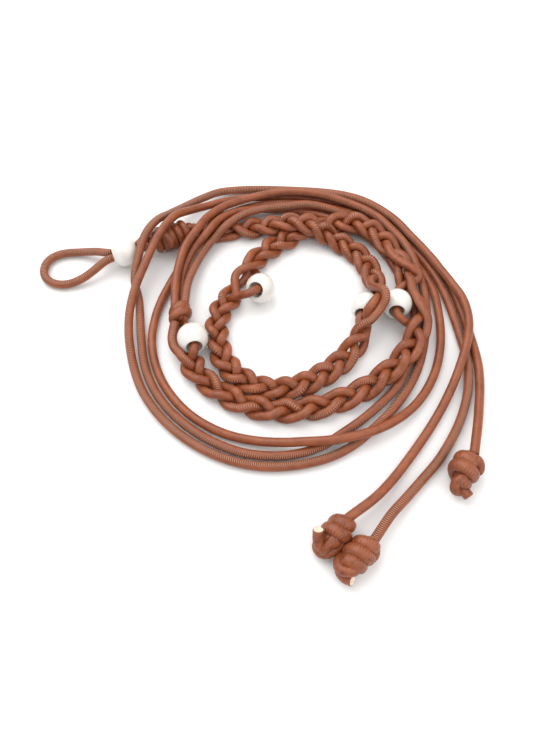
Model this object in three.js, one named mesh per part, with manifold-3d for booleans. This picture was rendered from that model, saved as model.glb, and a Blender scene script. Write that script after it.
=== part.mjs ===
// Knotted skinny belt of round faux-leather cord: end loop, pearl beads, three-strand braid, three tails.
// Millimetres, +Z up. The belt lies on the ground in two loose turns, its end loop towards -X.
import * as THREE from "three";
import { mergeVertices } from "three/addons/utils/BufferGeometryUtils.js";
import Module from "manifold-3d";

const wasm = await Module();
wasm.setup();

// Cord of the tails and the end loop
const CORD_D = 4;
const CORD_R = CORD_D / 2;
const TAIL_SIDES = 8;
const TAIL_STEPS = 70;
const LOOP_STEPS = 36;

// Gaps where a cord meets a knot: straight on, slanted, and out of the wrap knot
const END_GAP = 0.5;
const SLANT_GAP = 0.6;
const LEAD_GAP = 0.76;

// Strands of the braid: the same cord, pressed thinner where the strands cross
const STRAND_R = 1.6;
const STRAND_SIDES = 5;
const STRAND_STEP = 4.2;

// Plait: reach of a strand's middle to the side and up, and the length of its full turn
const PLAIT_SIDE = 3;
const PLAIT_RISE = 2.5;
const PLAIT_TURN = 27;
const PLAIT_TURN_LOOSE = 36;
const PLAIT_TIGHT_SHARE = 0.64;
const PLAIT_STEP = 3;
const PLAIT_MIDDLE_Z = PLAIT_RISE + CORD_R;
const BEAD_STEPS = 3;

// Pearl beads
const BEAD_D = 13.7;
const BEAD_R = BEAD_D / 2;
const BEAD_LENGTH = 11.4;
const BEAD_HOLE_R = 3.4;
const BEAD_SIDES = 10;
const BEAD_ARC_STEPS = 5;
const BEAD_Z = BEAD_R + 0.15;
const BEAD_LEAD = 1.3;
const BEAD_HOLD = 1.6;
const LOOP_R_IN_BEAD = 1.42;
const LOOP_TAPER = 0.18;

// Laying: the cords start at their level and settle on each other
const SAMPLE = 2.2;
const ROUTE_PARTS = 12;
const LEVEL = 4.4;
const ROUNDS = 1200;
const SINK = 0.1;
const HOME_PULL = 0.02;
const LAY_GAP = 0.65;
const REACH = 9;
const STRAND_BEND = 0.35;
const TAIL_BEND = 0.9;
const KEPT_APART_ALONG = 3;
const LAST_ROUNDS_SHARE = 0.1;

// Wound barrels: the knot behind the loop bead, and the one that the tails come out of
const ROUNDED_BY = 0.3;
const WRAP_KNOT = {
  from: [-60.5, 65, 6.4], to: [-43, 72, 6.4], radius: 6.4,
  ridge: 1.4, pitch: 4.2, rows: 16, sides: 12, rounding: 1.5,
};
const MID_KNOT = {
  from: [-42.9, 19.4, 5.4], to: [-42.9, 29, 5.4], radius: 5.3,
  ridge: 1.4, pitch: 4.6, rows: 10, sides: 14, rounding: 2.5,
};

// End knots: a wound barrel, a ball where the cord doubles back, and the stub of its cut end
const END_WINDING = { ridge: 1.6, pitch: 4.6, rows: 11, sides: 12, rounding: 3.5 };
const BALL_R = 4.1;
const BALL_SIDES = 10;
const BALL_ROWS = 6;
const TAIL_KNOTS = {
  tail_knot_a: {
    ...END_WINDING, from: [29.4, -67.4, 5.8], to: [18.3, -78.3, 5.8], radius: 5.7,
    ball: [17.3, -79.3, 4.6], stub: [[18, -76, 8], [15.7, -72.5, 13]],
  },
  tail_knot_b: {
    ...END_WINDING, from: [37.2, -75.9, 5.8], to: [25.1, -88.1, 5.8], radius: 5.7,
    ball: [35.5, -81, 4.5], stub: [[25, -86, 4], [27.8, -91.6, 3.5]],
  },
  tail_knot_c: {
    ...END_WINDING, from: [79.2, -40.3, 6.2], to: [71.5, -54.8, 6.2], radius: 6.2,
    ball: [70, -56, 4.2], stub: [[71.5, -54, 4.5], [75.2, -59, 3]],
  },
};

// Beads: place of the middle, azimuth and upward tilt of the hole in degrees, and the cord they are strung on
const BEADS = [
  { name: "loop_bead", x: -71.3, y: 58.7, azimuth: 200.2, tilt: 0, on: "end_loop" },
  { name: "knot_bead", x: -35.9, y: 10.3, azimuth: 283, tilt: 12, on: "braid_strand_b" },
  { name: "braid_bead_1", x: -6.6, y: 37.4, azimuth: 240, tilt: 40, on: "braid_strand_a" },
  { name: "braid_bead_2", x: 54.8, y: 28.7, azimuth: 262, tilt: 14, on: "braid_strand_b" },
  { name: "braid_bead_3", x: 40.7, y: 26.9, azimuth: 250, tilt: 12, on: "braid_strand_a" },
];
const [LOOP_BEAD, KNOT_BEAD, ...BRAID_BEADS] = BEADS;

// Middle line of the end loop, out of the wrap knot, through the bead, round the eye and back: x, y, z
const END_LOOP = [
  [-61.8, 66.9, 6.5], [-64.1, 65.6, 6.8], [-66.6, 62.3, 7], [-71.85, 60.2, 7], [-77.2, 58.3, 7],
  [-80.6, 58.9, 6.4], [-85, 60.6, 5], [-90, 61.9, 3.4], [-95, 62.5, 2.3], [-100, 62.3, 2.1],
  [-105, 60.8, 2.1], [-108.8, 57.2, 2.1], [-109.8, 52, 2.1], [-108.2, 47.3, 2.1], [-104.8, 44.4, 2.1],
  [-100, 43.2, 2.1], [-95, 44, 2.3], [-90, 46, 3.4], [-85, 49.3, 5], [-80.3, 53.3, 6.4],
  [-76.1, 55.3, 7], [-70.75, 57.2, 7], [-65.4, 59.2, 7], [-62.6, 61.4, 6.9], [-60.2, 62.8, 6.5],
];

// Middle line of the braid: x, y, level
const BRAID = [
  [-24, 75.8, 0.5], [-12, 77, 1], [3, 77.3, 3], [17, 74, 3], [33, 66.5, 1], [43.5, 54.5, 1], [46, 40, 1],
  [43.5, 26, 3], [37.5, 12, 1], [27.5, -0.5, 1], [12, -10.8, 1], [-4, -13, 1], [-17.5, -5.3, 1],
  [-25.5, 8.5, 1], [-25.5, 24, 1], [-19.5, 37.5, 1], [-13, 51.5, 0.5], [-4.5, 62, 0], [6, 70, 0],
  [20, 77, 0], [35, 78.8, 0], [46.5, 72.5, 0], [55, 60, 0], [61.5, 44.5, 0], [65, 28, 0], [62, 11, 0],
  [51.5, -3.5, 0], [35.5, -14.3, 0], [19, -21, 0], [1, -22.8, 0], [-16.5, -18, 0], [-31, -7.5, 0],
  [-36.5, 0.5, 0],
];

// Tails, from the mid knot to their end knots: x, y, level
const TAIL_A = [
  [-41.5, 54, 2], [-34, 70, 2], [-23, 83.5, 2], [-6, 89.7, 2], [14, 89.3, 2],
  [24, 86.5, -1], [41, 77, -1], [52.5, 63, -1], [59.2, 46.5, -1], [62.4, 29.5, -1], [61.6, 13, -1],
  [56, -3, -1], [45.5, -17.5, -1], [31, -30, -1], [13.5, -40, -1], [-7.5, -42, 1], [-27, -35.2, 1],
  [-43, -22.5, 1], [-53.7, -6, 1], [-59.2, 13, 1], [-62, 31, 1], [-64.8, 44.5, 1.5], [-61.8, 58.5, 2.5],
  [-55.3, 72.8, 2.5], [-45.5, 87, 2], [-29, 101.4, 2], [-8, 104.6, 2], [14, 102.4, 2], [36, 96, 2],
  [55, 83.4, 2], [67.8, 66, 3], [77.8, 48, 3], [85.6, 29.5, 3], [84.6, 12, 3], [77.8, -6, 3],
  [67.8, -24, 3], [54, -43, 3], [41, -58, 0.86],
];
const TAIL_B = [
  [-41, 38, 1.5], [-38.4, 53, 2], [-31.5, 66.5, 2], [-21, 77, 3], [-7.5, 85.8, 3],
  [16, 89.7, 3], [24, 88.8, -0.5], [41, 83.4, -0.5], [56, 72.5, -0.5], [67.3, 59, -0.5],
  [72.9, 45.3, -0.5], [74.6, 31.5, -0.5], [73.6, 13, -0.5], [68.8, -4, 3], [58.8, -19.5, 3],
  [43, -31.3, 3], [23, -37.5, 3], [1, -37.4, 3], [-20, -33, 1], [-38.3, -22.4, 1], [-50.3, -7, 1],
  [-54.9, 11.5, 1], [-53.2, 30.5, 1], [-47.3, 48.5, 1], [-39.8, 65, 1], [-29.3, 80.3, 1],
  [-13, 91.5, 1], [8, 95.4, 1], [30, 91.6, 1], [49, 82, 1], [64.5, 68, 1], [74.2, 54, 1],
  [80.1, 36.5, 1], [83.5, 0, 1], [79, -21, 1], [68.1, -40.5, 1], [54, -56.5, 0.86],
  [44.5, -66.5, 0.86],
];
const TAIL_C = [
  [-45.6, 38, 1.5], [-43.8, 53.5, 3], [-38.8, 67.5, 3], [-29.5, 82, 4],
  [-14, 93, 5], [4, 98.4, 5], [22, 96.8, 5], [38, 90.5, 5], [49.2, 82.6, 5], [58, 71.5, 5],
  [63.5, 61.5, 5], [67, 50, 2.5], [69, 37, -0.5], [68.3, 23, -0.5], [63.9, 7, -0.5], [56.5, -9, -0.5],
  [45.5, -25.5, -0.5], [29, -39.6, -0.5], [9.5, -46.2, -0.5], [-11, -46, -0.5], [-30.5, -38.6, -0.5],
  [-46.5, -25.5, -0.5], [-58, -8.3, -0.5], [-64.2, 11, -0.5], [-65.1, 28, 2], [-61.8, 43, 2],
  [-57, 57, 2], [-49.6, 70.5, 2], [-38.3, 83.5, 2], [-20, 95.5, 1], [0, 98.9, 1], [22, 97, 1],
  [43, 88.8, 1], [60, 74.6, 1], [72.8, 57.5, 1], [81.2, 39.5, 1], [85.6, 20, 1], [87.9, 0, 1],
  [84.9, -20, 0.95],
];

const plus = (p, q, factor = 1) => p.map((v, k) => v + factor * q[k]);
const apart = (p, q) => Math.hypot(p[0] - q[0], p[1] - q[1], p[2] - q[2]);

// A point just outside a barrel's end face: how far left of its axis, how far up, and how far off the face.
function offFace(barrel, end, left, up, gap) {
  const length = apart(barrel.from, barrel.to);
  const axis = plus(barrel.to, barrel.from, -1).map((v) => v / length);
  const out = end === "to" ? gap : -gap;
  return plus(plus(barrel[end], axis, out), [-axis[1] * left, axis[0] * left, up]);
}

// Strands: their turn in the plait, how they leave the wrap knot, and how they reach the mid knot
const STRANDS = {
  braid_strand_a: {
    turn: 0,
    lead: [offFace(WRAP_KNOT, "to", 0, 2.4, LEAD_GAP), [-36, 74.6, 6], [-30, 75.5, 2.1]],
    tail: [[-40.8, 4, 6], [-43.8, 8.5, 6.5], [-44.9, 13, 6], offFace(MID_KNOT, "from", 1.4, 1.2, SLANT_GAP)],
  },
  braid_strand_b: {
    turn: 1 / 3,
    lead: [offFace(WRAP_KNOT, "to", 2.1, -1.3, LEAD_GAP), [-37, 78.2, 2.6], [-30, 79.6, 2.1]],
    tail: [...throughBead(KNOT_BEAD, [0, 1]), offFace(MID_KNOT, "from", -2.6, 0.6, 3 * SLANT_GAP)],
  },
  braid_strand_c: {
    turn: 2 / 3,
    lead: [offFace(WRAP_KNOT, "to", -2.1, -3, LEAD_GAP), [-36.5, 70.6, 1.8], [-30, 71.3, 1.8]],
    tail: [[-40.5, 4.5, 2.1], [-42.8, 8.5, 2.1], [-43.4, 13, 2.3],
      offFace(MID_KNOT, "from", 0.5, -2.5, SLANT_GAP)],
  },
};
const { tail_knot_a, tail_knot_b, tail_knot_c } = TAIL_KNOTS;
const TAILS = {
  tail_a: { start: offFace(MID_KNOT, "to", 0.1, -2.3, SLANT_GAP), route: TAIL_A, knot: tail_knot_a },
  tail_b: { start: offFace(MID_KNOT, "to", -2.2, 1.44, SLANT_GAP), route: TAIL_B, knot: tail_knot_b },
  tail_c: { start: offFace(MID_KNOT, "to", 2.3, 1.44, SLANT_GAP), route: TAIL_C, knot: tail_knot_c },
};

// Catmull-Rom through the rows in equal steps; a flat one steps by its plan length, its level in proportion.
function evenRoute(rows, step, flat = false) {
  const first = plus(rows[0].map((v) => 2 * v), rows[1], -1);
  const last = plus(rows.at(-1).map((v) => 2 * v), rows.at(-2), -1);
  const all = [first, ...rows, last];
  const fine = [];
  for (let i = 0; i < rows.length - 1; i++) {
    const [a, b, c, d] = all.slice(i, i + 4);
    for (let j = 0; j < ROUTE_PARTS; j++) {
      const t = j / ROUTE_PARTS;
      const p = b.map((v, k) => v + 0.5 * ((c[k] - a[k]) * t
        + (2 * a[k] - 5 * b[k] + 4 * c[k] - d[k]) * t ** 2 + (3 * b[k] - a[k] - 3 * c[k] + d[k]) * t ** 3));
      if (flat) p[2] = b[2] + (c[2] - b[2]) * t;
      fine.push(p);
    }
  }
  fine.push([...rows.at(-1)]);
  const along = [0];
  for (let i = 1; i < fine.length; i++) {
    const rise = flat ? 0 : fine[i][2] - fine[i - 1][2];
    along.push(along[i - 1] + Math.hypot(fine[i][0] - fine[i - 1][0], fine[i][1] - fine[i - 1][1], rise));
  }
  const count = Math.round(along.at(-1) / step);
  const points = [];
  let i = 0;
  for (let n = 0; n <= count; n++) {
    const want = (along.at(-1) * n) / count;
    while (i < along.length - 2 && along[i + 1] < want) i++;
    const share = (want - along[i]) / (along[i + 1] - along[i]);
    points.push(plus(fine[i], plus(fine[i + 1], fine[i], -1), share));
  }
  return points;
}

function beadAxis({ azimuth, tilt }) {
  const [a, t] = [azimuth, tilt].map(THREE.MathUtils.degToRad);
  return [Math.cos(a) * Math.cos(t), Math.sin(a) * Math.cos(t), Math.sin(t)];
}

function beadMiddle({ x, y }) {
  return [x, y, BEAD_Z];
}

// Where a cord goes into a bead's hole, its middle, and where it comes out, in its own direction of travel.
function throughBead(bead, travel) {
  const axis = beadAxis(bead);
  const way = axis[0] * travel[0] + axis[1] * travel[1] > 0 ? 1 : -1;
  return [-1, 0, 1].map((end) => plus(beadMiddle(bead), axis, end * way * (BEAD_LENGTH / 2 + BEAD_LEAD)));
}

// One strand: out of the wrap knot, plaited along the braid's middle line, through its beads, to the mid knot.
function strandRoute(name, { turn, lead, tail }) {
  const middle = evenRoute(BRAID, PLAIT_STEP, true);
  const detours = BRAID_BEADS.filter((bead) => bead.on === name).map((bead) => {
    const away = middle.map(([x, y]) => Math.hypot(bead.x - x, bead.y - y));
    const nearest = away.indexOf(Math.min(...away));
    return { bead, first: nearest - BEAD_STEPS, last: nearest + BEAD_STEPS };
  });
  const rows = [...lead];
  let phase = turn;
  middle.forEach(([x, y, level], i) => {
    const before = middle[Math.max(i - 1, 0)];
    const after = middle[Math.min(i + 1, middle.length - 1)];
    const span = Math.hypot(after[0] - before[0], after[1] - before[1]);
    const ahead = [(after[0] - before[0]) / span, (after[1] - before[1]) / span];
    const side = PLAIT_SIDE * Math.sin(2 * Math.PI * phase);
    const rise = PLAIT_RISE * Math.sin(4 * Math.PI * phase);
    const detour = detours.find(({ first, last }) => first <= i && i <= last);
    const z = PLAIT_MIDDLE_Z + LEVEL * level + rise;
    if (!detour) rows.push([x - side * ahead[1], y + side * ahead[0], z]);
    else if (i === detour.first) rows.push(...throughBead(detour.bead, ahead));
    phase += PLAIT_STEP / (i < middle.length * PLAIT_TIGHT_SHARE ? PLAIT_TURN : PLAIT_TURN_LOOSE);
  });
  return evenRoute([...rows, ...tail], SAMPLE);
}

// One tail: from the mid knot along its chosen route to its end knot.
function tailRoute({ start, route, knot }) {
  const levelled = ([x, y, z]) => [x, y, (z - CORD_R) / LEVEL];
  const end = offFace(knot, "from", 0, 0, END_GAP);
  const rows = [levelled(start), ...route, levelled(end)];
  return evenRoute(rows, SAMPLE, true).map(([x, y, level]) => [x, y, CORD_R + LEVEL * level]);
}

function pushApart(p, q, want) {
  const dx = p.at[0] - q.at[0];
  const dy = p.at[1] - q.at[1];
  const dz = p.at[2] - q.at[2];
  const squared = dx * dx + dy * dy + dz * dz;
  if (squared >= want * want) return;
  const distance = Math.max(Math.sqrt(squared), 1e-6);
  const push = (want - distance) / 2 / distance / (p.free + q.free);
  p.at = plus(p.at, [dx, dy, dz], push * p.free);
  q.at = plus(q.at, [dx, dy, dz], -push * q.free);
}

// Lays chains of points: they sink, keep their bend, stay near their chosen places and push each other apart.
function settle(chains) {
  const points = [];
  for (const chain of chains) {
    chain.points.forEach((p, i) => points.push({
      chain, at: [...p], home: [...p], along: i * SAMPLE, free: chain.held(p, i) ? 0 : 1,
    }));
  }
  const pairs = [];
  points.forEach((p, i) => {
    for (const q of points.slice(i + 1)) {
      const want = p.chain.radius + q.chain.radius + LAY_GAP;
      const close = Math.hypot(p.at[0] - q.at[0], p.at[1] - q.at[1]) < want + REACH;
      const sameStretch = p.chain === q.chain && q.along - p.along < KEPT_APART_ALONG * want;
      const comesOut = p.chain.leaves === q.chain.name || q.chain.leaves === p.chain.name;
      if (close && p.free + q.free && !sameStretch && !comesOut) pairs.push([p, q, want]);
    }
  });
  const shift = (p, k) => (k === 2 ? p.at[2] : p.at[k] - p.home[k]);
  for (let round = 0; round < ROUNDS; round++) {
    const left = 1 - round / ROUNDS;
    const stiff = Math.min(1, left / LAST_ROUNDS_SHARE);
    const pull = 1 - HOME_PULL * stiff;
    for (const p of points) p.at[2] -= SINK * left * p.free;
    const smoothed = points.map((p, i) => {
      const [before, after] = [points[i - 1], points[i + 1]];
      if (!p.free || before?.chain !== p.chain || after?.chain !== p.chain) return p.at;
      const [x, y, z] = [0, 1, 2].map((k) => {
        const straight = (shift(before, k) + shift(after, k)) / 2;
        return shift(p, k) + stiff * p.chain.bend * (straight - shift(p, k));
      });
      return [p.home[0] + x * pull, p.home[1] + y * pull, z];
    });
    points.forEach((p, i) => (p.at = smoothed[i]));
    for (let pass = 0; pass < 2; pass++) {
      for (const [p, q, want] of pairs) pushApart(p, q, want);
    }
    for (const p of points) {
      if (p.free) p.at[2] = Math.max(p.at[2], p.chain.radius);
    }
  }
  for (const chain of chains) chain.points = points.filter((p) => p.chain === chain).map((p) => p.at);
}

// A closed body from rings of points, each ring going round the same way.
function skin(rings) {
  const sides = rings[0].length;
  const last = rings.length - 1;
  const middleOf = (rim) => rim.reduce((sum, p) => plus(sum, p), [0, 0, 0]).map((v) => v / sides);
  const positions = [...rings.flat(), middleOf(rings[0]), middleOf(rings[last])].flat();
  const caps = rings.length * sides;
  const index = [];
  for (let j = 0; j < sides; j++) {
    const k = (j + 1) % sides;
    for (let i = 0; i < last; i++) {
      const [a, b, c, d] = [i * sides + j, i * sides + k, (i + 1) * sides + k, (i + 1) * sides + j];
      index.push(a, b, c, a, c, d);
    }
    index.push(caps, k, j, caps + 1, last * sides + j, last * sides + k);
  }
  const geometry = new THREE.BufferGeometry();
  geometry.setAttribute("position", new THREE.Float32BufferAttribute(positions, 3));
  geometry.setIndex(index);
  return geometry;
}

// A ring of points round a place, across and up, with a radius for each turn.
function ring(middle, across, up, sides, radius) {
  return Array.from({ length: sides }, (_, j) => {
    const turn = (2 * Math.PI * (j + 0.5)) / sides;
    const rim = middle.clone().addScaledVector(across, radius(turn) * Math.cos(turn));
    return rim.addScaledVector(up, radius(turn) * Math.sin(turn)).toArray();
  });
}

// A round tube along the points, with a radius for each point.
function tube(points, radius, sides) {
  const path = points.map((p) => new THREE.Vector3(...p));
  let across = null;
  return skin(path.map((p, i) => {
    const ahead = path[Math.min(i + 1, path.length - 1)].clone().sub(path[Math.max(i - 1, 0)]).normalize();
    across ??= new THREE.Vector3(0, 0, 1).cross(ahead).normalize();
    across.addScaledVector(ahead, -across.dot(ahead)).normalize();
    return ring(p, across, ahead.clone().cross(across), sides, () => radius(i));
  }));
}

// Equal steps along the points; in a bend they stand out a little, so that straight steps keep to the curve.
function thinned(points, count) {
  const curve = new THREE.CatmullRomCurve3(points.map((p) => new THREE.Vector3(...p)));
  curve.arcLengthDivisions = points.length * 4;
  const even = curve.getSpacedPoints(count).map((p) => p.toArray());
  return even.map((p, i) => {
    if (i === 0 || i === count) return p;
    const chord = plus(even[i - 1], even[i + 1]).map((v) => v / 2);
    return plus(p, plus(p, chord, -1), 1 / 8);
  });
}

function tailTube(points) {
  const section = new THREE.Shape();
  for (let j = 0; j < TAIL_SIDES; j++) {
    const turn = (2 * Math.PI * (j + 0.5)) / TAIL_SIDES;
    section[j ? "lineTo" : "moveTo"](CORD_R * Math.cos(turn), CORD_R * Math.sin(turn));
  }
  section.closePath();
  const corners = thinned(points, TAIL_STEPS).map((p) => new THREE.Vector3(...p));
  const path = new THREE.CurvePath();
  corners.slice(1).forEach((p, i) => path.add(new THREE.LineCurve3(corners[i], p)));
  return new THREE.ExtrudeGeometry(section, { steps: TAIL_STEPS, extrudePath: path, bevelEnabled: false });
}

function loopTube() {
  const points = thinned(END_LOOP, LOOP_STEPS);
  const radius = (i) => {
    const outside = Math.abs(points[i][0] - LOOP_BEAD.x) - BEAD_LENGTH / 2 - 1;
    return THREE.MathUtils.clamp(LOOP_R_IN_BEAD + LOOP_TAPER * outside, LOOP_R_IN_BEAD, CORD_R);
  };
  return tube(points, radius, TAIL_SIDES);
}

// A drilled bead: a ball cut off flat at both ends of its hole.
function drilledBead() {
  const cut = Math.asin(BEAD_LENGTH / BEAD_D);
  const profile = [];
  for (let i = 0; i <= BEAD_ARC_STEPS; i++) {
    const turn = cut * ((2 * i) / BEAD_ARC_STEPS - 1);
    profile.push(new THREE.Vector2(BEAD_R * Math.cos(turn), BEAD_R * Math.sin(turn)));
  }
  profile.push(new THREE.Vector2(BEAD_HOLE_R, BEAD_LENGTH / 2));
  profile.push(new THREE.Vector2(BEAD_HOLE_R, -BEAD_LENGTH / 2));
  profile.push(profile[0].clone());
  return new THREE.LatheGeometry(profile, BEAD_SIDES);
}

// A barrel with the ridges of a cord wound round it.
function woundBarrel({ from, to, radius, ridge, pitch, rows, sides, rounding }) {
  const start = new THREE.Vector3(...from);
  const ahead = new THREE.Vector3(...to).sub(start);
  const length = ahead.length();
  ahead.normalize();
  const across = new THREE.Vector3(0, 0, 1).cross(ahead).normalize();
  const up = ahead.clone().cross(across);
  const rings = [];
  for (let i = 0; i <= rows; i++) {
    const along = (length * i) / rows;
    const inset = Math.max(0, rounding - Math.min(along, length - along)) / rounding;
    const wound = (turn) => Math.abs(Math.sin(Math.PI * (along / pitch - turn / (2 * Math.PI))));
    const reach = (turn) => (radius - ridge * (1 - wound(turn))) * (1 - ROUNDED_BY * inset ** 2);
    rings.push(ring(start.clone().addScaledVector(ahead, along), across, up, sides, reach));
  }
  return skin(rings);
}

function solid(geometry) {
  const bare = geometry.clone();
  bare.deleteAttribute("normal");
  bare.deleteAttribute("uv");
  const merged = mergeVertices(bare, 1e-4);
  return new wasm.Manifold(new wasm.Mesh({
    numProp: 3,
    vertProperties: merged.attributes.position.array,
    triVerts: new Uint32Array(merged.index.array),
  }));
}

function joined(geometries) {
  const mesh = wasm.Manifold.union(geometries.map(solid)).getMesh();
  const geometry = new THREE.BufferGeometry();
  geometry.setAttribute("position", new THREE.BufferAttribute(mesh.vertProperties, 3));
  geometry.setIndex(new THREE.BufferAttribute(mesh.triVerts, 1));
  return geometry;
}

function endKnot(knot) {
  const ball = new THREE.SphereGeometry(BALL_R, BALL_SIDES, BALL_ROWS).translate(...knot.ball);
  return joined([woundBarrel(knot), ball, tube(knot.stub, () => CORD_R, TAIL_SIDES)]);
}

const belt = new THREE.Group();
belt.name = "knotted_belt";
const leather = new THREE.MeshStandardMaterial({ color: 0x9a5236, roughness: 0.55 });
const pearl = new THREE.MeshStandardMaterial({ color: 0xf3efe6, roughness: 0.2 });

function piece(name, geometry, material) {
  const mesh = new THREE.Mesh(geometry, material);
  mesh.name = name;
  belt.add(mesh);
  return mesh;
}

// Chains to lay: what stands still, the strands, and the tails
const still = () => true;
const wrapMiddle = evenRoute([WRAP_KNOT.from, WRAP_KNOT.to], SAMPLE);
const strandChains = Object.entries(STRANDS).map(([name, strand]) => {
  const points = strandRoute(name, strand);
  const strung = BEADS.filter((bead) => bead.on === name).map(beadMiddle);
  const inBead = (p) => strung.some((middle) => apart(p, middle) < BEAD_LENGTH / 2 + BEAD_HOLD);
  const held = (p, i) => i < 3 || i > points.length - 3 || inBead(p);
  return { name, points, radius: STRAND_R, bend: STRAND_BEND, leaves: "wrap_knot", held };
});
const tailChains = Object.entries(TAILS).map(([name, tail]) => {
  const points = tailRoute(tail);
  const held = (p, i) => i < 2 || i > points.length - 4;
  return { name, points, radius: CORD_R, bend: TAIL_BEND, held };
});
settle([
  { name: "wrap_knot", points: wrapMiddle, radius: WRAP_KNOT.radius, held: still },
  { name: "end_loop", points: evenRoute(END_LOOP, SAMPLE), radius: CORD_R, held: still },
  ...BEADS.map((bead) => ({ name: bead.name, points: [beadMiddle(bead)], radius: BEAD_R, held: still })),
  ...strandChains,
  ...tailChains,
]);

piece("end_loop", loopTube(), leather);
piece("wrap_knot", woundBarrel(WRAP_KNOT), leather);
piece("mid_knot", woundBarrel(MID_KNOT), leather);
for (const bead of BEADS) {
  const mesh = piece(bead.name, drilledBead(), pearl);
  mesh.position.set(...beadMiddle(bead));
  mesh.quaternion.setFromUnitVectors(new THREE.Vector3(0, 1, 0), new THREE.Vector3(...beadAxis(bead)));
}
for (const { name, points } of strandChains) {
  const length = points.slice(1).reduce((sum, p, i) => sum + apart(points[i], p), 0);
  const steps = Math.round(length / STRAND_STEP);
  piece(name, tube(thinned(points, steps), () => STRAND_R, STRAND_SIDES), leather);
}
for (const { name, points } of tailChains) piece(name, tailTube(points), leather);
for (const [name, knot] of Object.entries(TAIL_KNOTS)) piece(name, endKnot(knot), leather);

// The origin is on the ground, under the middle of the belt without its tails.
const box = new THREE.Box3();
for (const mesh of belt.children) {
  mesh.updateMatrixWorld(true);
  if (!mesh.name.startsWith("tail_")) box.expandByObject(mesh, true);
}
const middle = box.getCenter(new THREE.Vector3());
belt.position.set(-middle.x, -middle.y, -box.min.z);

export default belt;
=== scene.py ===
"""Looks of the knotted skinny belt: leather cords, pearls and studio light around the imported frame."""
import math

import bpy
import numpy as np
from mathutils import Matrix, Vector


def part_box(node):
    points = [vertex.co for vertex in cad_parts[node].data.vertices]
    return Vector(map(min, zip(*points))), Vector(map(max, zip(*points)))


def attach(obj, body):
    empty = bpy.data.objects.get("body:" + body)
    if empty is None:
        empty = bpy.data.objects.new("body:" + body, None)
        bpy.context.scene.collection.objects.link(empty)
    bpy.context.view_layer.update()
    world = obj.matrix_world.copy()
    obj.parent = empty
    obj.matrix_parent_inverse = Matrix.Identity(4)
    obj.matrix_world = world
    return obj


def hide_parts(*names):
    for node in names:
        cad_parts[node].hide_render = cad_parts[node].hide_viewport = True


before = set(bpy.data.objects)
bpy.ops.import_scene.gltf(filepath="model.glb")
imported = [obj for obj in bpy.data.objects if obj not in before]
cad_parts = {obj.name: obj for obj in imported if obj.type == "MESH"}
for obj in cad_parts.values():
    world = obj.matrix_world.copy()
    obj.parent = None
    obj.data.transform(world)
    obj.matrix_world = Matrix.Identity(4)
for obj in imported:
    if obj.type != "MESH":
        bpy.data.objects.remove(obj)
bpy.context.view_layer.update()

MM = 0.001

# Cords: their reach from the middle line, and the steps along it and sides round it
CORD_R = 1.92 * MM
TAIL_STEP = 1.2 * MM
TAIL_SIDES = 20
INTO_KNOT = 4.2 * MM
KNOT_CORD_R = 2.1 * MM
KNOT_STEP = 0.4 * MM
KNOT_SIDES = 24
KNOT_TWIST = 1.5
COIL_STEPS_IN_A_TURN = 36
COIL_SIDES = 18
CORE_STEP = 0.6 * MM
RESTS_AT = 0.05 * MM

# Strands, wider than they are thick. Each is drawn in sideways by a share of its way to the middle of the
# braid, but no further than the largest pull. The middle is its line's mean over one turn of the plait.
STRAND_WIDE = 2.0 * MM
STRAND_THICK = 1.8 * MM
STRAND_STEP = 0.9 * MM
STRAND_SIDES = 18
PLAIT_TURN = 38 * MM
PLAIT_PULL = 0.16
LARGEST_PULL = 0.4 * MM

# End loop: narrower and taller near the middle of its bead, and round from further out
LOOP_STEP = 0.7 * MM
LOOP_SIDES = 20
LOOP_SEAM = 0.6
LOOP_TWIST = 1.4
PRESSED_WITHIN = 6.2 * MM
ROUND_FROM = 9.6 * MM
PRESSED_NARROWER = 0.34 * MM
PRESSED_TALLER = 0.3 * MM

# CAD tubes: vertices in a ring, how near two vertices are one, and how far a route's point may lie from
# the settled line
TAIL_RING = 8
STRAND_RING = 6
SAME_PLACE = 0.005 * MM
ROUTE_TOLERANCE = 12 * MM

# Curves: pieces that a stretch between two points is cut into before it is laid out in equal steps
CURVE_PARTS = 16

# The belt's plan has its origin where the camera looks; the frame's lies under the middle of the belt.
LOOP_BEAD_IN_PLAN = Vector((-71.3, 58.7, 7)) * MM
low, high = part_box("loop_bead")
SHIFT = (low + high) / 2 - LOOP_BEAD_IN_PLAN


def plan(x, y, z):
    """A point of the belt's plan, in millimetres, in the frame."""
    return Vector((x, y, z)) * MM + SHIFT


# Camera
camera = bpy.data.objects.new("camera", bpy.data.cameras.new("camera"))
bpy.context.scene.collection.objects.link(camera)
camera.data.lens = 30.77
camera.data.sensor_width = 36
camera.data.clip_start = 0.01
camera.location = plan(0, -136.9, 237.2)
camera.rotation_euler = (math.radians(30), 0, 0)
bpy.context.scene.camera = camera

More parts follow.
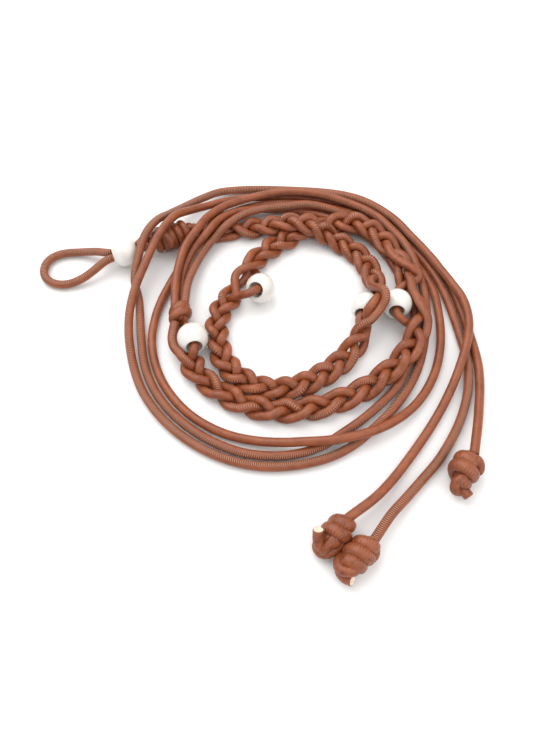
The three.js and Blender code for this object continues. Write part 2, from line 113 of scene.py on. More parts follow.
# Routes of the tails in the plan, in metres: x, y, and the level at which the tail was laid
TAIL_A = (
    (-0.0415, 0.054, 2), (-0.034, 0.07, 2), (-0.023, 0.0835, 2), (-0.006, 0.0897, 2),
    (0.014, 0.0893, 2), (0.024, 0.0865, -1), (0.041, 0.077, -1), (0.0525, 0.063, -1),
    (0.0592, 0.0465, -1), (0.0624, 0.0295, -1), (0.0616, 0.013, -1), (0.056, -0.003, -1),
    (0.0455, -0.0175, -1), (0.031, -0.03, -1), (0.0135, -0.04, -1), (-0.0075, -0.042, 1),
    (-0.027, -0.0352, 1), (-0.043, -0.0225, 1), (-0.0537, -0.006, 1), (-0.0592, 0.013, 1),
    (-0.062, 0.031, 1), (-0.0648, 0.0445, 1.5), (-0.0618, 0.0585, 2.5), (-0.0553, 0.0728, 2.5),
    (-0.0455, 0.087, 2), (-0.029, 0.1014, 2), (-0.008, 0.1046, 2), (0.014, 0.1024, 2),
    (0.036, 0.096, 2), (0.055, 0.0834, 2), (0.0678, 0.066, 3), (0.0778, 0.048, 3),
    (0.0856, 0.0295, 3), (0.0846, 0.012, 3), (0.0778, -0.006, 3), (0.0678, -0.024, 3),
    (0.054, -0.043, 3), (0.041, -0.058, 0.86),
)
TAIL_B = (
    (-0.041, 0.038, 1.5), (-0.0384, 0.053, 2), (-0.0315, 0.0665, 2), (-0.021, 0.077, 3),
    (-0.0075, 0.0858, 3), (0.016, 0.0897, 3), (0.024, 0.0888, -0.5), (0.041, 0.0834, -0.5),
    (0.056, 0.0725, -0.5), (0.0673, 0.059, -0.5), (0.0729, 0.0453, -0.5), (0.0746, 0.0315, -0.5),
    (0.0736, 0.013, -0.5), (0.0688, -0.004, 3), (0.0588, -0.0195, 3), (0.043, -0.0313, 3),
    (0.023, -0.0375, 3), (0.001, -0.0374, 3), (-0.02, -0.033, 1), (-0.0383, -0.0224, 1),
    (-0.0503, -0.007, 1), (-0.0549, 0.0115, 1), (-0.0532, 0.0305, 1), (-0.0473, 0.0485, 1),
    (-0.0398, 0.065, 1), (-0.0293, 0.0803, 1), (-0.013, 0.0915, 1), (0.008, 0.0954, 1),
    (0.03, 0.0916, 1), (0.049, 0.082, 1), (0.0645, 0.068, 1), (0.0742, 0.054, 1),
    (0.0801, 0.0365, 1), (0.0835, 0.0, 1), (0.079, -0.021, 1), (0.0681, -0.0405, 1),
    (0.054, -0.0565, 0.86), (0.0445, -0.0665, 0.86),
)
TAIL_C = (
    (-0.0456, 0.038, 1.5), (-0.0438, 0.0535, 3), (-0.0388, 0.0675, 3), (-0.0295, 0.082, 4),
    (-0.014, 0.093, 5), (0.004, 0.0984, 5), (0.022, 0.0968, 5), (0.038, 0.0905, 5),
    (0.0492, 0.0826, 5), (0.058, 0.0715, 5), (0.0635, 0.0615, 5), (0.067, 0.05, 2.5),
    (0.069, 0.037, -0.5), (0.0683, 0.023, -0.5), (0.0639, 0.007, -0.5), (0.0565, -0.009, -0.5),
    (0.0455, -0.0255, -0.5), (0.029, -0.0396, -0.5), (0.0095, -0.0462, -0.5), (-0.011, -0.046, -0.5),
    (-0.0305, -0.0386, -0.5), (-0.0465, -0.0255, -0.5), (-0.058, -0.0083, -0.5), (-0.0642, 0.011, -0.5),
    (-0.0651, 0.028, 2), (-0.0618, 0.043, 2), (-0.057, 0.057, 2), (-0.0496, 0.0705, 2),
    (-0.0383, 0.0835, 2), (-0.02, 0.0955, 1), (0.0, 0.0989, 1), (0.022, 0.097, 1),
    (0.043, 0.0888, 1), (0.06, 0.0746, 1), (0.0728, 0.0575, 1), (0.0812, 0.0395, 1),
    (0.0856, 0.02, 1), (0.0879, 0.0, 1), (0.0849, -0.02, 0.95),
)

# Middle line of the end loop in the plan, in metres: out of the wrap knot, through the bead, round the
# eye and back
END_LOOP = (
    (-0.0618, 0.0669, 0.0065), (-0.0641, 0.0656, 0.0068), (-0.0666, 0.0623, 0.007),
    (-0.07185, 0.0602, 0.007), (-0.0772, 0.0583, 0.007), (-0.0806, 0.0589, 0.0064),
    (-0.085, 0.0606, 0.005), (-0.09, 0.0619, 0.0034), (-0.095, 0.0625, 0.0023), (-0.1, 0.0623, 0.0021),
    (-0.105, 0.0608, 0.0021), (-0.1088, 0.0572, 0.0021), (-0.1098, 0.052, 0.0021),
    (-0.1082, 0.0473, 0.0021), (-0.1048, 0.0444, 0.0021), (-0.1, 0.0432, 0.0021),
    (-0.095, 0.044, 0.0023), (-0.09, 0.046, 0.0034), (-0.085, 0.0493, 0.005), (-0.0803, 0.0533, 0.0064),
    (-0.0761, 0.0553, 0.007), (-0.07075, 0.0572, 0.007), (-0.0654, 0.0592, 0.007),
    (-0.0626, 0.0614, 0.0069), (-0.0602, 0.0628, 0.0065),
)

# Each tail: where it leaves the mid knot, the knot on its end, and how the seam runs round the cord
# (its angle at the start, and its turn in 100 mm)
TAILS = {
    "tail_a": {
        "route": TAIL_A, "exit": (-0.043, 0.0296, 0.0031), "knot": "tail_knot_a",
        "seam": -1.7, "twist": 0.8,
    },
    "tail_b": {
        "route": TAIL_B, "exit": (-0.0407, 0.0296, 0.0068), "knot": "tail_knot_b",
        "seam": -4.7, "twist": 0.9,
    },
    "tail_c": {
        "route": TAIL_C, "exit": (-0.0452, 0.0296, 0.0068), "knot": "tail_knot_c",
        "seam": 4.1, "twist": -0.7,
    },
}
STRANDS = {
    "braid_strand_a": {"start": (-0.0423, 0.0723, 0.0088), "seam": 0.6, "twist": 1.1},
    "braid_strand_b": {"start": (-0.0431, 0.0742, 0.0051), "seam": 2.6, "twist": -0.8},
    "braid_strand_c": {"start": (-0.0415, 0.0703, 0.0034), "seam": 4.4, "twist": 0.9},
}

# Knots in the plan, in millimetres. The core is the filling. A coil is a cord wound round the line from
# start to end, with these reaches of its middle line on the way. A cord is one that shows on its own, and
# a cut one shows its fibres.
KNOTS = {
    "tail_knot_a": {
        "core": {"start": (28.2, -68.6, 5.8), "end": (17.2, -79.4, 4.8), "radius": 3.7},
        "coils": [
            {
                "start": (27.0, -69.8, 5.7), "end": (19.9, -77.0, 5.3),
                "turns": 2.5, "phase": 4.4, "lean": 0.1,
                "reach": (0.4, 3.1, 3.6, 3.7, 3.4, 1.9), "wide": 2.75, "thick": 2.3, "seam": 0.9,
            },
        ],
        "cords": [
            {
                "path": (
                    (25.4, -77.0, 4.6), (22.6, -79.5, 4.2), (19.5, -81.2, 3.8), (17.0, -80.9, 3.4),
                    (15.7, -78.8, 3.4), (16.4, -76.6, 3.6),
                ),
                "seam": 3.0, "cut": False,
            },
            {
                "path": (
                    (18.2, -80.8, 3.8), (17.8, -80.4, 5.2), (19.3, -79.0, 6.8), (21.5, -77.0, 7.4),
                    (24.0, -74.6, 6.6),
                ),
                "seam": 3.0, "cut": False,
            },
            {
                "path": (
                    (19.5, -79.0, 4.2), (17.2, -79.6, 4.8), (16.0, -78.6, 6.6), (15.7, -76.8, 8.6),
                    (15.7, -74.7, 10.9),
                ),
                "seam": 3.0, "cut": True,
            },
        ],
    },
    "tail_knot_b": {
        "core": {"start": (36.6, -76.6, 5.8), "end": (24.8, -88.4, 4.9), "radius": 3.8},
        "coils": [
            {
                "start": (35.4, -77.4, 5.8), "end": (26.2, -86.4, 5.2),
                "turns": 3.0, "phase": 4.2, "lean": 0.12,
                "reach": (0.4, 3.1, 3.7, 3.8, 3.8, 3.5, 1.6), "wide": 2.7, "thick": 2.2, "seam": 2.2,
            },
        ],
        "cords": [
            {
                "path": (
                    (31.8, -79.4, 5.0), (33.8, -78.4, 6.8), (35.9, -79.6, 6.2), (36.2, -81.8, 4.8),
                    (33.8, -83.8, 4.4), (30.0, -83.4, 5.0),
                ),
                "seam": 3.2, "cut": False,
            },
            {
                "path": (
                    (26.0, -82.0, 3.6), (23.4, -84.2, 5.0), (23.1, -86.8, 6.4), (24.9, -88.4, 7.2),
                    (28.0, -88.2, 7.0), (30.6, -85.8, 5.4),
                ),
                "seam": 1.0, "cut": False,
            },
            {
                "path": ((25.0, -84.0, 3.6), (23.6, -87.0, 3.4), (25.0, -89.6, 3.4), (27.6, -91.2, 4.8)),
                "seam": 2.6, "cut": True,
            },
        ],
    },
    "tail_knot_c": {
        "core": {"start": (78.0, -42.4, 6.0), "end": (71.6, -54.2, 5.4), "radius": 3.8},
        "coils": [
            {
                "start": (76.6, -44.4, 6.0), "end": (71.2, -54.2, 5.6),
                "turns": 2.5, "phase": 4.6, "lean": -0.32,
                "reach": (0.4, 3.0, 3.9, 4.3, 3.8, 1.8), "wide": 2.8, "thick": 2.2, "seam": 0.9,
            },
        ],
        "cords": [
            {
                "path": (
                    (76.0, -48.6, 5.6), (76.7, -47.0, 8.0), (78.5, -46.7, 8.0), (79.8, -48.0, 6.2),
                    (79.4, -49.8, 4.8), (77.0, -50.2, 4.6),
                ),
                "seam": 3.2, "cut": False,
            },
            {
                "path": (
                    (75.0, -53.2, 6.0), (72.0, -53.8, 7.7), (69.6, -55.4, 6.9), (69.3, -57.2, 4.9),
                    (71.3, -57.4, 3.3), (73.6, -55.8, 3.4),
                ),
                "seam": 3.2, "cut": False,
            },
            {
                "path": ((71.2, -54.4, 4.4), (72.4, -57.0, 4.4), (74.2, -60.0, 4.4)),
                "seam": 3.2, "cut": True,
            },
        ],
    },
    "mid_knot": {
        "core": {"start": (-42.9, 28.8, 5.2), "end": (-42.4, 20.2, 5.2), "radius": 3.1},
        "coils": [
            {
                "start": (-42.9, 28.4, 5.0), "end": (-42.4, 20.4, 5.2),
                "turns": 2.4, "phase": 4.4, "lean": 0.3,
                "reach": (1.8, 3.0, 3.4, 3.6, 3.0, 1.4), "wide": 2.5, "thick": 1.9, "seam": 1.0,
            },
        ],
        "cords": [],
    },
    "wrap_knot": {
        "core": {"start": (-60.5, 65.0, 6.0), "end": (-40.5, 73.0, 5.6), "radius": 3.7},
        "coils": [
            {
                "start": (-60.0, 65.2, 6.4), "end": (-40.0, 73.2, 6.0),
                "turns": 5.7, "phase": 4.4, "lean": 0.12,
                "reach": (0.8, 4.3, 4.0, 4.6, 4.1, 4.5, 4.0, 4.4, 3.6, 1.0),
                "wide": 1.95, "thick": 2.0, "seam": 0.7,
            },
        ],
        "cords": [
            {
                "path": (
                    (-60.2, 68.6, 4.6), (-58.4, 68.4, 8.2), (-55.6, 66.6, 10.6), (-52.6, 65.4, 11.1),
                    (-50.2, 64.2, 9.0), (-49.6, 62.8, 6.0),
                ),
                "seam": 1.2, "cut": False,
            },
        ],
    },
}

# Beads in the plan: middle in millimetres, azimuth and upward tilt of the hole in degrees
BEADS = {
    "loop_bead": {"middle": (-71.3, 58.7, 7.0), "azimuth": 200.2, "tilt": 0},
    "knot_bead": {"middle": (-35.9, 10.3, 7.0), "azimuth": 283, "tilt": 12},
    "braid_bead_1": {"middle": (-6.6, 37.4, 7.0), "azimuth": 240, "tilt": 40},
    "braid_bead_2": {"middle": (54.8, 28.7, 7.0), "azimuth": 262, "tilt": 14},
    "braid_bead_3": {"middle": (40.7, 26.9, 7.0), "azimuth": 250, "tilt": 12},
}
BEAD_R = 6.85 * MM
HOLE_R = 3.4 * MM
BEAD_SIDES = 72
BALL_STEPS = 33
HOLE_STEPS = 5
RIM_R = 0.45 * MM

# Points of a bead's rim, in shares of RIM_R: past the edge of the ball, and out from the hole
RIM = ((0.16, 0.85), (0.1, 0.4), (-0.3, 0.08), (-1.0, 0.0))


def ring_centres(node, start, sides):
    """The middle line of a CAD tube, from its end at start: the middles of its rings of vertices."""
    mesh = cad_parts[node].data
    keys = {}
    merged = []
    for v in mesh.vertices:
        key = tuple(round(c / SAME_PLACE) for c in v.co)
        merged.append(keys.setdefault(key, len(keys)))
    co = np.zeros((len(keys), 3))
    for v, k in zip(mesh.vertices, merged):
        co[k] = v.co
    near = [set() for _ in keys]
    for e in mesh.edges:
        a, b = (merged[i] for i in e.vertices)
        near[a].add(b)
        near[b].add(a)
    ring = set(np.argsort(np.linalg.norm(co - np.array(start), axis=1))[:sides].tolist())
    seen = set(ring)
    centres = [co[list(ring)].mean(0)]
    while True:
        ring = {n for k in ring for n in near[k]} - seen
        if len(ring) < 3:
            return np.array(centres)
        seen |= ring
        centres.append(co[list(ring)].mean(0))


def smooth(points, step):
    """Catmull-Rom through the points, in equal steps."""
    p = np.asarray(points, float)
    q = np.vstack([2 * p[0] - p[1], p, 2 * p[-1] - p[-2]])
    t = np.linspace(0, 1, CURVE_PARTS, endpoint=False)[:, None]
    fine = []
    for a, b, c, d in zip(q, q[1:], q[2:], q[3:]):
        bend = (2 * a - 5 * b + 4 * c - d) * t ** 2 + (3 * b - a - 3 * c + d) * t ** 3
        fine.append(0.5 * (2 * b + (c - a) * t + bend))
    fine = np.vstack(fine + [p[-1:]])
    s = np.concatenate([[0], np.cumsum(np.linalg.norm(np.diff(fine, axis=0), axis=1))])
    n = max(2, round(s[-1] / step) + 1)
    want = np.linspace(0, s[-1], n)
    return np.stack([np.interp(want, s, fine[:, k]) for k in range(3)], 1)


def lengthened(points, by):
    """The points with one more past either end."""
    first = points[0] + unit(points[0] - points[1]) * by
    last = points[-1] + unit(points[-1] - points[-2]) * by
    return np.vstack([first, points, last])


def length_of(points):
    return float(np.linalg.norm(np.diff(points, axis=0), axis=1).sum())


def unit(rows):
    return rows / np.maximum(np.linalg.norm(rows, axis=-1, keepdims=True), 1e-9)


def level(line):
    """The level direction across a line, at each of its points."""
    return np.cross((0, 0, 1), unit(np.gradient(line, axis=0)))


def sideways(points, ahead, beside):
    """The direction across a tube at each point: beside, or one carried along from a level start."""
    if beside is not None:
        return unit(beside - ahead * (beside * ahead).sum(1)[:, None])
    across = np.zeros_like(points)
    across[0] = np.cross((0, 0, 1), ahead[0])
    if np.linalg.norm(across[0]) < 1e-3:
        across[0] = (1, 0, 0)
    for i in range(len(points)):
        if i:
            across[i] = across[i - 1]
        across[i] -= ahead[i] * across[i].dot(ahead[i])
        across[i] /= np.linalg.norm(across[i])
    return across


# Rings past the cut end of a cord: share of its radius, distance past the end, and number of its material
CUT_RINGS = ((0.97, 0.12 * MM, 0), (0.86, 0.2 * MM, 0), (0.8, 0.05 * MM, 1), (0.5, 0.16 * MM, 1))


def pulled_in(line):
    """A strand's line drawn in sideways towards the middle of the braid."""
    half = round(PLAIT_TURN / STRAND_STEP / 2)
    padded = np.pad(line, ((half, half), (0, 0)), "edge")
    middle = np.stack([padded[i:i + 2 * half + 1].mean(0) for i in range(len(line))])
    inwards = (middle - line) * PLAIT_PULL
    inwards[:, 2] = 0
    reach = np.linalg.norm(inwards, axis=1, keepdims=True)
    inwards *= np.minimum(1, LARGEST_PULL / np.maximum(reach, 1e-9))
    from_end = np.minimum(np.arange(len(line)), np.arange(len(line))[::-1])
    return line + inwards * np.clip(from_end / half, 0, 1)[:, None]


def tube(points, wide, thick=None, sides=TAIL_SIDES, seam=0.0, twist=0.0, beside=None, cut=False):
    """A closed tube along the points: wide is its reach to the side, and thick its reach upwards."""
    n = len(points)
    wide = np.broadcast_to(wide, n)
    thick = wide if thick is None else np.broadcast_to(thick, n)
    ahead = unit(np.gradient(points, axis=0))
    across = sideways(points, ahead, beside)
    up = np.cross(ahead, across)
    s = np.concatenate([[0], np.cumsum(np.linalg.norm(np.diff(points, axis=0), axis=1))])
    turn = 2 * math.pi * np.arange(sides) / sides
    side_reach = (across * wide[:, None])[:, None]
    up_reach = (up * thick[:, None])[:, None]
    rims = side_reach * np.cos(turn)[None, :, None] + up_reach * np.sin(turn)[None, :, None]
    co = points[:, None] + rims
    materials = [0] * (n - 1)
    if cut:
        for share, past, material in CUT_RINGS:
            ring = points[-1] + ahead[-1] * past + rims[-1] * share
            co = np.concatenate([co, ring[None]])
            s = np.append(s, s[-1] + past)
            materials.append(material)
    rows = len(co)
    faces = []
    for i in range(rows - 1):
        for j in range(sides):
            k = (j + 1) % sides
            faces.append((i * sides + j, i * sides + k, (i + 1) * sides + k, (i + 1) * sides + j))
    faces.append(tuple(range(sides - 1, -1, -1)))
    faces.append(tuple((rows - 1) * sides + j for j in range(sides)))
    away = turn[None, :] - (seam + twist * s[:, None] / 0.1)
    away = np.abs((away + math.pi) % (2 * math.pi) - math.pi)
    return {
        "co": co.reshape(-1, 3),
        "faces": faces,
        "material": list(np.repeat(materials, sides)) + [0, 1 if cut else 0],
        "smooth": [True] * (len(faces) - 2) + [False] * 2,
        "along": np.repeat(s, sides),
        "from_seam": away.reshape(-1),
    }


def build(name, node, parts, materials):
    """One mesh object made of the parts, flat where it rests; it stands for the CAD node of that name."""
    co = np.concatenate([part["co"] for part in parts])
    co[:, 2] = np.maximum(co[:, 2], RESTS_AT)
    faces = []
    before = 0
    for part in parts:
        faces += [tuple(v + before for v in face) for face in part["faces"]]
        before += len(part["co"])
    mesh = bpy.data.meshes.new(name)
    mesh.from_pydata([tuple(v) for v in co], [], faces)
    mesh.polygons.foreach_set("use_smooth", [flag for part in parts for flag in part["smooth"]])
    mesh.polygons.foreach_set("material_index", [int(m) for part in parts for m in part["material"]])
    for label in ("along", "from_seam"):
        layer = mesh.attributes.new(label, "FLOAT", "POINT")
        values = np.concatenate([part[label] for part in parts])
        layer.data.foreach_set("value", values.astype(np.float32))
    for material in materials:
        mesh.materials.append(material)
    piece = bpy.data.objects.new(name, mesh)
    bpy.context.scene.collection.objects.link(piece)
    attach(piece, "root")
    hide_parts(node)
    return piece


def add_node(tree, kind, values=(), **settings):
    """A shader node with these settings and these values on its inputs."""
    node = tree.nodes.new("ShaderNode" + kind)
    for key, value in settings.items():
        setattr(node, key, value)
    for key, value in dict(values).items():
        node.inputs[key].default_value = value
    return node


def principled(name, colour, roughness):
    """A new material, its node tree and its shader."""
    material = bpy.data.materials.new(name)
    material.use_nodes = True
    shader = material.node_tree.nodes["Principled BSDF"]
    shader.inputs["Base Color"].default_value = (*colour, 1)
    shader.inputs["Roughness"].default_value = roughness
    return material, material.node_tree, shader


def noise(tree, scale, detail):
    """A noise over the object's own coordinates."""
    place = add_node(tree, "TexCoord")
    made = add_node(tree, "TexNoise", {"Scale": scale, "Detail": detail})
    tree.links.new(place.outputs["Object"], made.inputs["Vector"])
    return made.outputs["Fac"]


def ramp(tree, value, stops):
    """A colour ramp over value, through the stops (position, colour)."""
    made = add_node(tree, "ValToRGB")
    elements = made.color_ramp.elements
    while len(elements) < len(stops):
        elements.new(0.5)
    for element, (position, colour) in zip(elements, stops):
        element.position = position
        element.color = (*colour, 1)
    tree.links.new(value, made.inputs["Fac"])
    return made.outputs["Color"]


def maths(tree, operation, first, second=None):
    """A math node; second is a number or another node's output."""
    made = add_node(tree, "Math", operation=operation)
    tree.links.new(first, made.inputs[0])
    if isinstance(second, (int, float)):
        made.inputs[1].default_value = second
    elif second is not None:
        tree.links.new(second, made.inputs[1])
    return made.outputs[0]


def mix(tree, factor, first, second):
    """The first colour, another node's output, with this much of the second, a plain one."""
    made = add_node(tree, "MixRGB", {"Color2": (*second, 1)})
    tree.links.new(factor, made.inputs["Fac"])
    tree.links.new(first, made.inputs["Color1"])
    return made.outputs["Color"]


def bump(tree, height, strength, distance, normal=None):
    """Relief from a height, laid on the relief of normal where one is given."""
    made = add_node(tree, "Bump", {"Strength": strength, "Distance": distance})
    tree.links.new(height, made.inputs["Height"])
    if normal is not None:
        tree.links.new(normal, made.inputs["Normal"])
    return made.outputs["Normal"]


# Colours of the leather, linear, and of the painted shade and glints laid on it
LEATHER = (0.25, 0.066, 0.022)
LEATHER_DARK = (0.19, 0.046, 0.0145)
LEATHER_BRIGHT = (0.3, 0.08, 0.027)
# Painted shade, mixed in where the creases lie low
PAINTED_FOLD_SHADE = (0.07, 0.018, 0.007)
# Painted glint on the crests of the seam ridges, and painted shade in their troughs
PAINTED_RIDGE_GLINT = (0.62, 0.31, 0.2)
PAINTED_RIDGE_SHADE = (0.07, 0.02, 0.008)

# Scales of its noises in a metre, pitches along the cord, and depths of its relief
CLOUD_SCALE = 130
MOTTLE_SCALE = 460
GRAIN_SCALE = 2200
RIDGE_PITCH = 0.85 * MM
SEAM_SLANT = 0.7 * MM
CREASE_PITCH = 1.3 * MM
CREASES_ROUND = 0.7
CREASE_DEPTH = 0.4 * MM
MOTTLE_DEPTH = 0.3 * MM
GRAIN_DEPTH = 0.12 * MM
RIDGE_DEPTH = 0.16 * MM


def leather(name, wrinkles, seam_weight, seam_band):
    """Tan-brown leather cord: mottles, grain, and creases with painted shade in their low parts; and fine
    ridges in a band along its seam, with painted glints on their crests and painted shade in their
    troughs.

    The seam_band is the band's reach to either side of the seam, in radians round the cord.
    """
    material, tree, shader = principled(name, LEATHER, 0.4)
    links = tree.links
    shader.inputs["Specular IOR Level"].default_value = 0.45
    along = add_node(tree, "Attribute", attribute_name="along").outputs["Fac"]
    seam = add_node(tree, "Attribute", attribute_name="from_seam").outputs["Fac"]

    clouds = noise(tree, CLOUD_SCALE, 4)
    mottles = noise(tree, MOTTLE_SCALE, 5)
    cloud_part = maths(tree, "MULTIPLY", clouds, 0.55)
    mottle_part = maths(tree, "MULTIPLY", mottles, 0.45)
    mixture = maths(tree, "ADD", cloud_part, mottle_part)
    base = ramp(tree, mixture, ((0.36, LEATHER_DARK), (0.64, LEATHER_BRIGHT)))

    across = add_node(tree, "CombineXYZ")
    links.new(maths(tree, "MULTIPLY", along, 1 / CREASE_PITCH), across.inputs["X"])
    links.new(maths(tree, "MULTIPLY", seam, CREASES_ROUND), across.inputs["Y"])
    creases = add_node(tree, "TexNoise", {"Scale": 1.0, "Detail": 3, "Distortion": wrinkles})
    links.new(across.outputs[0], creases.inputs["Vector"])
    creases = creases.outputs["Fac"]
    # Painted shade in the folds: the base is mixed towards a near-black brown where the crease noise,
    # which is also the relief's height, lies low
    painted_fold_shade = add_node(tree, "MapRange", {"From Min": 0.48, "From Max": 0.3, "To Max": 0.7 * wrinkles})
    links.new(creases, painted_fold_shade.inputs["Value"])
    base = mix(tree, painted_fold_shade.outputs[0], base, PAINTED_FOLD_SHADE)

    band = add_node(tree, "MapRange", {"From Min": seam_band, "From Max": seam_band * 0.5})
    band.interpolation_type = "SMOOTHSTEP"
    links.new(seam, band.inputs["Value"])
    slanted = maths(tree, "ADD", along, maths(tree, "MULTIPLY", seam, SEAM_SLANT))
    wave = maths(tree, "SINE", maths(tree, "MULTIPLY", slanted, 2 * math.pi / RIDGE_PITCH))
    ridges = maths(tree, "MULTIPLY", wave, band.outputs[0])
    # Painted glints on the ridge crests and painted shade in their troughs, mixed into the base colour
    # within the seam band
    ridge_glint_share = maths(tree, "MULTIPLY", maths(tree, "MAXIMUM", ridges, 0.0), 0.85 * seam_weight)
    ridge_shade_share = maths(tree, "MULTIPLY", maths(tree, "MINIMUM", ridges, 0.0), -0.75 * seam_weight)
    glinted = mix(tree, ridge_glint_share, base, PAINTED_RIDGE_GLINT)
    links.new(mix(tree, ridge_shade_share, glinted, PAINTED_RIDGE_SHADE), shader.inputs["Base Color"])

    rough = add_node(tree, "MapRange", {"To Min": 0.22, "To Max": 0.54})
    links.new(mottles, rough.inputs["Value"])
    links.new(rough.outputs[0], shader.inputs["Roughness"])

    creased = bump(tree, creases, 0.35 + 0.6 * wrinkles, CREASE_DEPTH)
    mottled = bump(tree, mottles, 0.4, MOTTLE_DEPTH, creased)
    grained = bump(tree, noise(tree, GRAIN_SCALE, 3), 0.45, GRAIN_DEPTH, mottled)
    links.new(bump(tree, ridges, 0.9 * seam_weight, RIDGE_DEPTH, grained), shader.inputs["Normal"])
    return material


def cord_core(name, dark, bright):
    """The frayed fibres at a cut end."""
    material, tree, shader = principled(name, bright, 0.85)
    fibres = noise(tree, 1800, 4)
    tree.links.new(ramp(tree, fibres, ((0.35, dark), (0.6, bright))), shader.inputs["Base Color"])
    tree.links.new(bump(tree, fibres, 0.8, 0.2 * MM), shader.inputs["Normal"])
    return material


def pearl():
    """Ivory pearl: bright and glossy, with faint warm clouds and slight waves."""
    material, tree, shader = principled("pearl", (0.86, 0.84, 0.8), 0.22)
    shader.inputs["Subsurface Weight"].default_value = 0.15
    shader.inputs["Subsurface Radius"].default_value = (1, 0.8, 0.6)
    shader.inputs["Subsurface Scale"].default_value = 2 * MM
    shader.inputs["Coat Weight"].default_value = 0.5
    shader.inputs["Coat Roughness"].default_value = 0.12
    clouds = ramp(tree, noise(tree, 150, 3), ((0.3, (0.7, 0.67, 0.61)), (0.7, (0.78, 0.765, 0.73))))
    tree.links.new(clouds, shader.inputs["Base Color"])
    tree.links.new(bump(tree, noise(tree, 260, 2), 0.12, 0.2 * MM), shader.inputs["Normal"])
    return material


leather_material = leather("leather_cord", wrinkles=0.12, seam_weight=1.0, seam_band=0.75)
braided_material = leather("braided_leather_cord", wrinkles=0.4, seam_weight=0.6, seam_band=0.5)
knotted_material = leather("knotted_leather_cord", wrinkles=0.8, seam_weight=0.16, seam_band=0.5)
pale_core = cord_core("pale_cord_core", (0.66, 0.46, 0.3), (0.9, 0.8, 0.66))
brown_core = cord_core("brown_cord_core", (0.24, 0.07, 0.03), (0.4, 0.14, 0.065))
pearl_material = pearl()


def coil(start, end, turns, phase, lean, reach, wide, thick, seam):
    """A flattened cord wound round the line from start to end; lean tips its turns along that line."""
    first, last = plan(*start), plan(*end)
    axis = np.array((last - first).normalized())
    length = (last - first).length
    right = unit(np.cross((0, 0, 1), axis))
    up = np.cross(axis, right)
    t = np.linspace(0, 1, round(turns * COIL_STEPS_IN_A_TURN) + 1)
    turn = phase + 2 * math.pi * turns * t
    out = np.interp(t, np.linspace(0, 1, len(reach)), reach) * MM
    round_it = right * np.cos(turn)[:, None] + up * np.sin(turn)[:, None]
    forward = t * length - lean * out * np.cos(turn)
    points = np.array(first) + axis * forward[:, None] + round_it * out[:, None]
    beside = np.broadcast_to(axis, points.shape)
    return tube(points, wide * MM, thick * MM, COIL_SIDES, seam, beside=beside)


def core(start, end, radius):
    """The filling of a knot, rounded at both ends."""
    points = smooth([plan(*start), plan(*end)], CORE_STEP)
    t = np.linspace(-1, 1, len(points))
    return tube(points, radius * MM * np.sqrt(1 - 0.9 * t ** 4), seam=math.pi)


def tie_knot(name):
    """A knot as the cords that show in it, wound round a filling."""
    knot = KNOTS[name]
    parts = [core(**knot["core"])]
    parts += [coil(**facts) for facts in knot["coils"]]
    for cord in knot["cords"]:
        points = smooth([plan(*p) for p in cord["path"]], KNOT_STEP)
        shape = {"sides": KNOT_SIDES, "seam": cord["seam"], "twist": KNOT_TWIST, "cut": cord["cut"]}
        parts.append(tube(points, KNOT_CORD_R, **shape))
    inner = brown_core if name == "tail_knot_c" else pale_core
    return build(name + "_wound", name, parts, [knotted_material, inner])


def furthest(route, line):
    """The largest distance in plan of a route's points from a settled line."""
    rows = np.array([(x + SHIFT.x, y + SHIFT.y) for x, y, _ in route])
    return float(max(np.linalg.norm(line[:, :2] - row, axis=1).min() for row in rows))


# Tails, the free cords: each lies where its CAD tube settled, along its route
for name, tail in TAILS.items():
    middles = ring_centres(name, Vector(tail["exit"]) + SHIFT, TAIL_RING)
    line = smooth(lengthened(middles, INTO_KNOT), TAIL_STEP)
    off = furthest(tail["route"], line)
    if off > ROUTE_TOLERANCE:
        raise ValueError(f"{name} lies {off:.4f} m off its route")
    parts = [tube(line, CORD_R, seam=tail["seam"], twist=tail["twist"], beside=level(line))]
    piece = build(name + "_cord", name, parts, [leather_material])
    tie_knot(tail["knot"])
    print(name, "length", round(length_of(line), 4), "off its route by up to", round(off, 4))

# Strands of the braid
for name, strand in STRANDS.items():
    middles = ring_centres(name, Vector(strand["start"]) + SHIFT, STRAND_RING)
    line = pulled_in(smooth(middles, STRAND_STEP))
    turning = {"seam": strand["seam"], "twist": strand["twist"], "beside": level(line)}
    parts = [tube(line, STRAND_WIDE, STRAND_THICK, STRAND_SIDES, **turning)]
    build(name + "_cord", name, parts, [braided_material])
    print(name, "length", round(length_of(line), 4))

# End loop, pressed where both its runs share the bead's hole
line = smooth([Vector(p) + SHIFT for p in END_LOOP], LOOP_STEP)
from_bead = np.linalg.norm(line - np.array(plan(*BEADS["loop_bead"]["middle"])), axis=1)
pressed = np.interp(from_bead, (PRESSED_WITHIN, ROUND_FROM), (1, 0))
wide = CORD_R - PRESSED_NARROWER * pressed
thick = CORD_R + PRESSED_TALLER * pressed
parts = [tube(line, wide, thick, LOOP_SIDES, LOOP_SEAM, LOOP_TWIST, level(line))]
build("end_loop_cord", "end_loop", parts, [leather_material])

for name in ("mid_knot", "wrap_knot"):
    tie_knot(name)


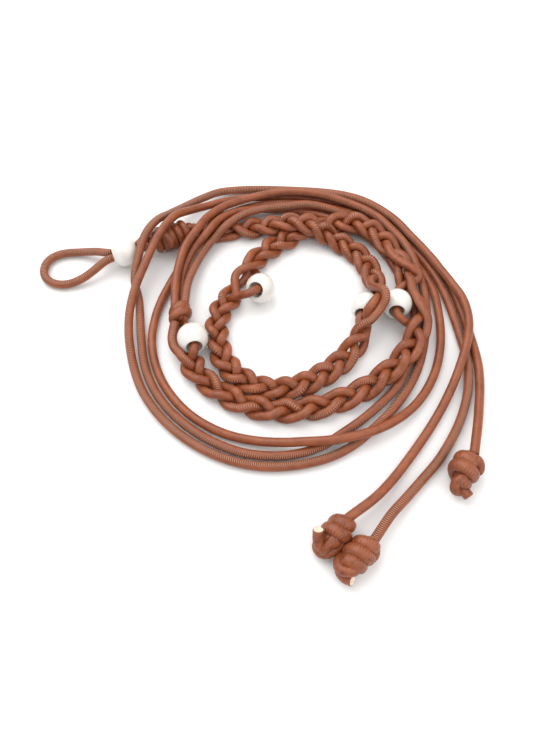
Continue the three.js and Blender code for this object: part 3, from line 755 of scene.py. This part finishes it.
def bead(name, middle, azimuth, tilt):
    """A drilled pearl with rounded rims, as a lathed profile round the axis of its hole."""
    turn_at = math.asin((HOLE_R + 1.3 * RIM_R) / BEAD_R)
    arc = np.linspace(turn_at, math.pi - turn_at, BALL_STEPS)
    ball = [(-BEAD_R * math.cos(a), BEAD_R * math.sin(a)) for a in arc]
    edge = ball[-1][0]
    lip = [(edge + past * RIM_R, HOLE_R + out * RIM_R) for past, out in RIM]
    inside = [(x, HOLE_R) for x in np.linspace(0.8 * edge, -0.8 * edge, HOLE_STEPS)]
    profile = ball + lip + inside + [(-x, r) for x, r in reversed(lip)]
    azimuth, tilt = math.radians(azimuth), math.radians(tilt)
    level_share = math.cos(tilt)
    axis = np.array((math.cos(azimuth) * level_share, math.sin(azimuth) * level_share, math.sin(tilt)))
    right = unit(np.cross((0, 0, 1), axis))
    up = np.cross(axis, right)
    turn = 2 * math.pi * np.arange(BEAD_SIDES) / BEAD_SIDES
    spokes = right * np.cos(turn)[:, None] + up * np.sin(turn)[:, None]
    co = np.concatenate([np.array(plan(*middle)) + axis * x + spokes * r for x, r in profile])
    faces = []
    for i in range(len(profile)):
        a = i * BEAD_SIDES
        b = (i + 1) % len(profile) * BEAD_SIDES
        for j in range(BEAD_SIDES):
            k = (j + 1) % BEAD_SIDES
            faces.append((a + j, a + k, b + k, b + j))
    part = {
        "co": co,
        "faces": faces,
        "material": [0] * len(faces),
        "smooth": [True] * len(faces),
        "along": np.zeros(len(co)),
        "from_seam": np.zeros(len(co)),
    }
    return build(name + "_pearl", name, [part], [pearl_material])


for name, facts in BEADS.items():
    bead(name, **facts)
for name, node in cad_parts.items():
    node.data.materials.clear()
    node.data.materials.append(pearl_material if "bead" in name else leather_material)

# Floor and light, with the place in the plan that the lamps are turned to
LIT_PLACE = (0, 10, 0)
bpy.ops.mesh.primitive_plane_add(size=6, location=(0, 0, 0))
floor = bpy.context.object
floor.name = "floor"
floor_material, _, floor_shader = principled("floor", (0.86, 0.86, 0.855), 0.6)
floor_shader.inputs["Specular IOR Level"].default_value = 0.2
floor.data.materials.append(floor_material)


def area_light(name, place, size, power):
    """A square light over a place of the plan, turned to the belt."""
    light = bpy.data.lights.new(name, "AREA")
    light.size = size
    light.energy = power
    lamp = bpy.data.objects.new(name, light)
    lamp.location = plan(*place)
    lamp.rotation_euler = (plan(*LIT_PLACE) - lamp.location).to_track_quat("-Z", "Y").to_euler()
    bpy.context.scene.collection.objects.link(lamp)


area_light("key", (-260, 330, 620), size=0.8, power=5)
area_light("fill", (420, -260, 500), size=0.8, power=2)
world = bpy.data.worlds.new("studio")
world.use_nodes = True
sky = world.node_tree.nodes["Background"]
sky.inputs["Strength"].default_value = 0.92
direction = add_node(world.node_tree, "TexCoord")
height = add_node(world.node_tree, "SeparateXYZ")
world.node_tree.links.new(direction.outputs["Generated"], height.inputs[0])
grey_to_white = ((0.0, (0.5, 0.5, 0.5)), (0.7, (1, 1, 1)))
brightness = ramp(world.node_tree, height.outputs["Z"], grey_to_white)
world.node_tree.links.new(brightness, sky.inputs["Color"])
bpy.context.scene.world = world
bpy.context.scene.view_settings.view_transform = "Standard"
